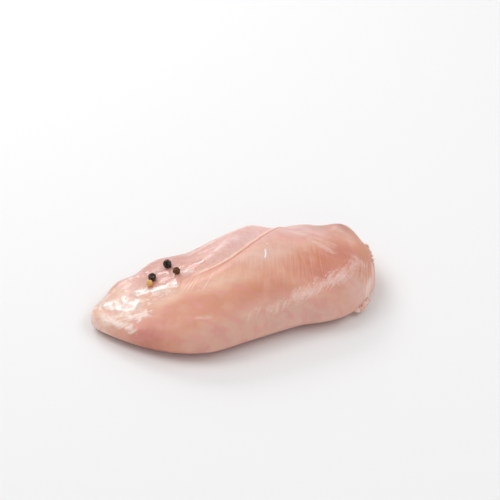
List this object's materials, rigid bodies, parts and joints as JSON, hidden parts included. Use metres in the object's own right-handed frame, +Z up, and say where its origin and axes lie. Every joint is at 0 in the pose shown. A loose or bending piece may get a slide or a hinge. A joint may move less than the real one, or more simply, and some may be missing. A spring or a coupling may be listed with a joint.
{
  "type": "raw chicken breast",
  "caption": "Raw skinless chicken breast, a plump tapering cut of poultry with a seam and a thin flap, dotted with peppercorns; food for a kitchen, a shop counter or a cooking scene.",
  "frame": {"origin": "under the middle of the breast's box, on the surface that it rests on", "axes": "+X along the breast, from its thin tip to its blunt end; +Y across it, towards the side with the flap; +Z up, through its thickness"},
  "size_m": [0.168, 0.087, 0.0367],
  "materials": {
    "chicken_flesh": "gloss",
    "peppercorn_black": "matte",
    "peppercorn_pale": "matte"
  },
  "bodies": {
    "root": {"chicken_breast": "chicken_flesh"}
  },
  "joints": []
}
